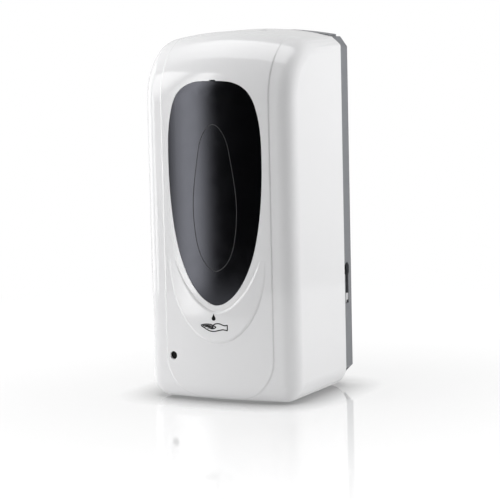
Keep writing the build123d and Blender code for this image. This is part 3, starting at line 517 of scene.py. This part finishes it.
def flat_shape(points, corners):
    """Filled flat shape inside a closed smooth loop of points in x and height, in millimetres, as a mesh."""
    curve = bpy.data.curves.new("flat_shape", "CURVE")
    curve.dimensions = "2D"
    curve.fill_mode = "BOTH"
    curve.resolution_u = 8
    spline = curve.splines.new("BEZIER")
    spline.bezier_points.add(len(points) - 1)
    spline.use_cyclic_u = True
    for index, (x, z) in enumerate(points):
        knot = spline.bezier_points[index]
        knot.co = (x * MM, z * MM, 0)
        kind = "VECTOR" if index in corners else "AUTO"
        knot.handle_left_type = kind
        knot.handle_right_type = kind
    piece = bpy.data.objects.new("flat_shape", curve)
    bpy.context.scene.collection.objects.link(piece)
    only(piece)
    bpy.ops.object.convert(target="MESH")
    piece = bpy.context.view_layer.objects.active
    piece.rotation_euler = (math.pi / 2, 0, 0)
    piece.location = (0, INK_START, COVER_FOOT)
    settle(piece)
    return piece


def stroke(points, width):
    """Closed outline of a line of even width through points, with blunt ends, and its corners."""
    left, right = [], []
    last = len(points) - 1
    for index, point in enumerate(points):
        before = Vector(points[max(index - 1, 0)])
        after = Vector(points[min(index + 1, last)])
        along = (after - before).normalized()
        out = Vector((-along.y, along.x)) * width / 2
        left.append(tuple(Vector(point) + out))
        right.append(tuple(Vector(point) - out))
    outline = left + right[::-1]
    return outline, (0, last, last + 1, len(outline) - 1)


def printed(shapes, target):
    """Flat shapes laid on the front of a piece as a thin film of ink."""
    films = [flat_shape(points, corners) for points, corners in shapes]
    only(films[0])
    for film in films:
        film.select_set(True)
    bpy.ops.object.join()
    film = bpy.context.view_layer.objects.active
    wrap = film.modifiers.new("lay", "SHRINKWRAP")
    wrap.target = target
    wrap.wrap_method = "PROJECT"
    wrap.use_project_y = True
    wrap.use_positive_direction = True
    wrap.use_negative_direction = True
    wrap.wrap_mode = "ABOVE_SURFACE"
    wrap.offset = INK_LIFT
    body = film.modifiers.new("film", "SOLIDIFY")
    body.thickness = INK_THICKNESS
    body.offset = 0
    apply_all(film)
    bpy.ops.object.mode_set(mode="EDIT")
    turn_outwards()
    bpy.ops.object.mode_set(mode="OBJECT")
    return film


# Hand and drop printed below the window

drop = [
    (-2.2, 65.1), (-1.35, 63.2), (-0.62, 61.7), (-1.0, 60.5),
    (-2.2, 60.0), (-3.4, 60.5), (-3.78, 61.7), (-3.05, 63.2),
]
drop_tip = (0,)
hand_lines = [
    [
        (-2.7, 56.5), (-1.7, 57.25), (-0.4, 57.75), (1.5, 57.95),
        (3.2, 57.7), (4.8, 57.1), (6.4, 56.75), (8.9, 57.1),
    ],
    [(8.75, 57.4), (8.8, 55.1), (8.75, 52.9)],
    [
        (8.9, 53.2), (7.0, 53.45), (5.3, 53.65), (3.5, 53.35), (1.8, 52.95), (0.2, 52.5), (-1.6, 52.2),
        (-3.3, 52.1), (-5.0, 52.3), (-6.6, 52.8), (-8.9, 53.9), (-11.2, 55.2), (-12.4, 55.95), (-12.5, 56.35),
        (-11.8, 56.6), (-9.8, 57.05), (-7.4, 57.25), (-5.2, 57.15), (-3.6, 56.8), (-2.4, 56.3), (-0.6, 55.5),
    ],
    [(-11.2, 55.9), (-8.6, 56.25), (-6.2, 56.25), (-4.2, 55.95), (-2.4, 55.45)],
    [(-9.9, 55.05), (-7.7, 55.45), (-5.6, 55.3), (-3.9, 54.95), (-2.4, 54.75)],
    [(-7.4, 54.3), (-5.9, 54.5), (-4.3, 54.1), (-2.6, 54.1), (-1.1, 54.75), (-0.3, 55.6)],
]
hand_strokes = [stroke(line, INK_STROKE) for line in hand_lines]
figure = printed([(drop, drop_tip)] + hand_strokes, nodes["front_cover"])
finish_piece(figure, "hand_print", print_ink, "cover")


# Leaf-shaped line laid in the groove of the window

def groove_inlay():
    """Copy of the floor of the groove in the window, raised as a thin inlay."""
    inlay = node_copy("window")
    only(inlay)
    bpy.ops.object.mode_set(mode="EDIT")
    bpy.ops.mesh.select_mode(type="FACE")
    bpy.ops.mesh.select_all(action="DESELECT")
    bpy.ops.object.mode_set(mode="OBJECT")
    for face in inlay.data.polygons:
        x, y, z = face.center
        front = FRONT_APEX - RIBBON_STEP + WINDOW_SET_BACK + FRONT_BOW - math.sqrt(FRONT_BOW**2 - x**2)
        at_floor = GROOVE_SHALLOW < y - front < GROOVE_DEEP
        face.select = not (at_floor and face.normal.y < GROOVE_FACING and z < LEAF_HEAD)
    bpy.ops.object.mode_set(mode="EDIT")
    bpy.ops.mesh.delete(type="FACE")
    bpy.ops.mesh.customdata_custom_splitnormals_clear()
    bpy.ops.object.mode_set(mode="OBJECT")
    bpy.ops.object.shade_flat()
    raised = inlay.modifiers.new("raised", "SOLIDIFY")
    raised.thickness = INLAY_THICKNESS
    raised.offset = 1
    apply_all(inlay)
    return inlay


leaf = groove_inlay()
finish_piece(leaf, "leaf_line", leaf_paint, "cover")


# Latch spring, copied as a free piece that rides on the back unit

coil = node_copy("latch_spring")
finish_piece(coil, "latch_coil", finishes["plated_steel"], "back_unit")
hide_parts("latch_spring")
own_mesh(coil)


# Camera at the photograph's angle

def towards(turn, tilt):
    """Direction from the case at a turn from the front and a tilt above it, both in radians."""
    return Vector((math.sin(turn) * math.cos(tilt), -math.cos(turn) * math.cos(tilt), math.sin(tilt)))


def photo_camera():
    """Camera whose image centre lies where the photograph's frame has it."""
    turn, roll = math.radians(CAMERA_TURN), math.radians(CAMERA_ROLL)
    back = towards(turn, math.radians(CAMERA_TILT))
    level = Vector((math.cos(turn), math.sin(turn), 0))
    upright = back.cross(level)
    right = math.cos(roll) * level + math.sin(roll) * upright
    above = math.cos(roll) * upright - math.sin(roll) * level
    shift = right * (CENTRE_RIGHT / FOCAL_PIXELS) - above * (CENTRE_DOWN / FOCAL_PIXELS)
    forward = (-back + shift).normalized()
    side = forward.cross(above).normalized()
    top = side.cross(forward)
    data = bpy.data.cameras.new("camera")
    data.sensor_width = SENSOR_WIDTH
    data.lens = SENSOR_WIDTH * FOCAL_PIXELS / FRAME_PIXELS
    camera = bpy.data.objects.new("camera", data)
    facing = Matrix((side, top, -forward)).transposed().to_4x4()
    camera.matrix_world = Matrix.Translation(CAMERA_AIM + back * CAMERA_DISTANCE) @ facing
    bpy.context.scene.collection.objects.link(camera)
    return camera


bpy.context.scene.camera = photo_camera()


# Studio light

def softbox(name, azimuth, elevation, away, width, height, power, fade, mirrored=True):
    """Area light that looks at the case and fades over a share of its width and height at each edge."""
    data = bpy.data.lights.new(name, "AREA")
    data.shape = "RECTANGLE"
    data.size = width
    data.size_y = height
    data.energy = power
    data.use_nodes = True
    tree = data.node_tree
    link = tree.links.new
    where = place(tree, "ShaderNodeNewGeometry", -1100, 0)
    split = place(tree, "ShaderNodeSeparateXYZ", -900, 0)
    link(where.outputs["Parametric"], split.inputs["Vector"])
    edges = []
    for axis, (low, high) in zip("XY", fade):
        for span in ((0.0, low), (1.0, 1.0 - high)):
            edge = ranged(tree, -700, -300 * len(edges), span, smooth=True)
            link(split.outputs[axis], edge.inputs["Value"])
            edges.append(edge.outputs[0])
    total = edges[0]
    for step, edge in enumerate(edges[1:]):
        times = place(tree, "ShaderNodeMath", 200 * step - 500, -300 * step, operation="MULTIPLY")
        link(total, times.inputs[0])
        link(edge, times.inputs[1])
        total = times.outputs[0]
    link(total, tree.nodes["Emission"].inputs["Strength"])
    lamp = bpy.data.objects.new(name, data)
    out = towards(math.radians(azimuth), math.radians(elevation))
    facing = out.to_track_quat("Z", "Y").to_matrix().to_4x4()
    lamp.matrix_world = Matrix.Translation(CAMERA_AIM + out * away) @ facing
    lamp.visible_glossy = mirrored
    bpy.context.scene.collection.objects.link(lamp)


softbox(
    "strip_box", azimuth=-34.5, elevation=6, away=1.7, width=0.54, height=2.2, power=16.0,
    fade=((0.45, 0.45), (0.1, 0.06)),
)
softbox(
    "left_box", azimuth=-55, elevation=6, away=1.7, width=0.75, height=2.2, power=18.0,
    fade=((0.3, 0.3), (0.1, 0.06)),
)
softbox(
    "far_left_box", azimuth=-88, elevation=6, away=1.7, width=1.0, height=2.2, power=11.0,
    fade=((0.2, 0.2), (0.1, 0.06)),
)
softbox(
    "right_box", azimuth=117, elevation=-5, away=1.7, width=2.0, height=1.6, power=49.0,
    fade=((0.25, 0.25), (0.2, 0.2)), mirrored=False,
)
softbox(
    "top_box", azimuth=-96, elevation=78, away=1.33, width=1.0, height=1.85, power=12.6,
    fade=((0.03, 0.03), (0.4, 0.03)),
)


def studio_world():
    """Even white fill, white behind the case for the camera, and a dark front and bright back for mirrors."""
    world = bpy.data.worlds.new("studio")
    world.use_nodes = True
    tree = world.node_tree
    link = tree.links.new
    fill = tree.nodes["Background"]
    fill.inputs["Color"].default_value = (1, 1, 1, 1)
    fill.inputs["Strength"].default_value = FILL_STRENGTH
    room = place(tree, "ShaderNodeBackground", 0, -200, Color=(1, 1, 1, 1))
    ray = place(tree, "ShaderNodeLightPath", -800, 300)
    where = place(tree, "ShaderNodeTexCoord", -1000, -200)
    split = place(tree, "ShaderNodeSeparateXYZ", -800, -200)
    mirrored = ranged(tree, -600, -200, ROOM_TURN, ROOM_FRONT, ROOM_BACK, smooth=True)
    strength = place(tree, "ShaderNodeMath", -400, -200, operation="MAXIMUM")
    seen = place(tree, "ShaderNodeMath", -600, 300, operation="MAXIMUM")
    seen_through = place(tree, "ShaderNodeMath", -400, 300, operation="MAXIMUM")
    mix = place(tree, "ShaderNodeMixShader", 200, 0)
    link(where.outputs["Generated"], split.inputs["Vector"])
    link(split.outputs["Y"], mirrored.inputs["Value"])
    link(mirrored.outputs[0], strength.inputs[0])
    link(ray.outputs["Is Camera Ray"], strength.inputs[1])
    link(strength.outputs[0], room.inputs["Strength"])
    link(ray.outputs["Is Camera Ray"], seen.inputs[0])
    link(ray.outputs["Is Glossy Ray"], seen.inputs[1])
    link(seen.outputs[0], seen_through.inputs[0])
    link(ray.outputs["Is Transmission Ray"], seen_through.inputs[1])
    link(seen_through.outputs[0], mix.inputs["Fac"])
    link(fill.outputs[0], mix.inputs[1])
    link(room.outputs[0], mix.inputs[2])
    link(mix.outputs[0], tree.nodes["World Output"].inputs["Surface"])
    return world


bpy.context.scene.world = studio_world()


# Pale glossy floor

def pale_floor():
    """White floor with a shade where the case stands, a fading mirror image and a plain white rim."""
    material = bpy.data.materials.new("pale_floor")
    material.use_nodes = True
    tree = material.node_tree
    tree.nodes.clear()
    link = tree.links.new

    # Rays that see the floor, straight or in a mirror, and the distance from its middle
    ray = place(tree, "ShaderNodeLightPath", -1300, 600)
    seen = place(tree, "ShaderNodeMath", -1050, 600, operation="MAXIMUM")
    where = place(tree, "ShaderNodeTexCoord", -1550, -500)
    offset = place(tree, "ShaderNodeVectorMath", -1300, -500, operation="SUBTRACT")
    offset.inputs[1].default_value = (0, FLOOR_MIDDLE, 0)
    length = place(tree, "ShaderNodeVectorMath", -1050, -500, operation="LENGTH")
    link(ray.outputs["Is Camera Ray"], seen.inputs[0])
    link(ray.outputs["Is Glossy Ray"], seen.inputs[1])
    link(where.outputs["Object"], offset.inputs[0])
    link(offset.outputs[0], length.inputs[0])

    # Shade close to the case, weaker in mirrors
    near = place(tree, "ShaderNodeAmbientOcclusion", -1050, 350, samples=CONTACT_SAMPLES)
    near.inputs["Distance"].default_value = CONTACT_REACH
    shade = ranged(tree, -800, 350, CONTACT_OPEN, CONTACT_DARK, 1.0)
    shade_mirrored = place(tree, "ShaderNodeMath", -800, 600, operation="MULTIPLY")
    shade_mirrored.inputs[1].default_value = CONTACT_IN_MIRRORS
    shade_seen = place(tree, "ShaderNodeMath", -550, 450, operation="MAXIMUM")
    link(near.outputs["AO"], shade.inputs["Value"])
    link(ray.outputs["Is Glossy Ray"], shade_mirrored.inputs[0])
    link(shade.outputs[0], shade_seen.inputs[0])
    link(shade_mirrored.outputs[0], shade_seen.inputs[1])

    # Lit part, which takes the shadow
    lit_shade = place(tree, "ShaderNodeMath", -300, 450, operation="MULTIPLY")
    lit_shade.inputs[1].default_value = LIT_SHARE
    tint = place(tree, "ShaderNodeMix", -50, 450, data_type="RGBA")
    tint.inputs[COLOUR_A].default_value = (FLOOR_GREY, FLOOR_GREY, FLOOR_GREY, 1)
    lit = place(tree, "ShaderNodeBsdfDiffuse", 200, 450)
    link(shade_seen.outputs[0], lit_shade.inputs[0])
    link(seen.outputs[0], tint.inputs[FACTOR])
    link(lit_shade.outputs[0], tint.inputs[COLOUR_B])
    link(tint.outputs[COLOUR_OUT], lit.inputs["Color"])

    # Glowing part, which keeps the floor white for the eye and bounces a little light for other rays
    bounce = ranged(tree, -300, -50, BOUNCE_SPAN, BOUNCE_STRENGTH, 0.0, smooth=True)
    glow_shade = place(tree, "ShaderNodeMath", -300, 200, operation="MULTIPLY")
    glow_shade.inputs[1].default_value = GLOW_SHARE
    glow_strength = place(tree, "ShaderNodeMix", -50, 150)
    glow = place(tree, "ShaderNodeEmission", 200, 150)
    lit_glow = place(tree, "ShaderNodeAddShader", 450, 300)
    link(length.outputs["Value"], bounce.inputs["Value"])
    link(shade_seen.outputs[0], glow_shade.inputs[0])
    link(seen.outputs[0], glow_strength.inputs[FACTOR])
    link(bounce.outputs[0], glow_strength.inputs[VALUE_A])
    link(glow_shade.outputs[0], glow_strength.inputs[VALUE_B])
    link(glow_strength.outputs[0], glow.inputs["Strength"])
    link(lit.outputs[0], lit_glow.inputs[0])
    link(glow.outputs[0], lit_glow.inputs[1])

    # Plain white towards the rim
    rim = ranged(tree, -300, -350, RIM_SPAN, smooth=True)
    rim_share = place(tree, "ShaderNodeMath", -50, -350, operation="MULTIPLY")
    white = place(tree, "ShaderNodeEmission", 450, 100)
    ground = place(tree, "ShaderNodeMixShader", 700, 200)
    link(length.outputs["Value"], rim.inputs["Value"])
    link(seen.outputs[0], rim_share.inputs[0])
    link(rim.outputs[0], rim_share.inputs[1])
    link(rim_share.outputs[0], ground.inputs["Fac"])
    link(lit_glow.outputs[0], ground.inputs[1])
    link(white.outputs[0], ground.inputs[2])

    # Mirror image for the camera, fading outwards
    fade = ranged(tree, -300, -650, MIRROR_SPAN, MIRROR_STRENGTH, 0.0)
    mirror_share = place(tree, "ShaderNodeMath", -50, -650, operation="MULTIPLY")
    mirror = place(tree, "ShaderNodeBsdfGlossy", 700, -50, Color=(1, 1, 1, 1), Roughness=MIRROR_ROUGHNESS)
    whole = place(tree, "ShaderNodeMixShader", 950, 100)
    out = place(tree, "ShaderNodeOutputMaterial", 1200, 100)
    link(length.outputs["Value"], fade.inputs["Value"])
    link(fade.outputs[0], mirror_share.inputs[0])
    link(ray.outputs["Is Camera Ray"], mirror_share.inputs[1])
    link(mirror_share.outputs[0], whole.inputs["Fac"])
    link(ground.outputs[0], whole.inputs[1])
    link(mirror.outputs[0], whole.inputs[2])
    link(whole.outputs[0], out.inputs["Surface"])
    return material


deselect()
bpy.ops.mesh.primitive_circle_add(
    vertices=FLOOR_SIDES, radius=FLOOR_RADIUS, fill_type="NGON",
    location=(0, FLOOR_MIDDLE, COVER_FOOT - FLOOR_GAP),
)
floor = bpy.context.view_layer.objects.active
floor.name = "floor"
settle(floor)
floor.data.materials.append(pale_floor())

bpy.context.scene.view_settings.view_transform = "Standard"
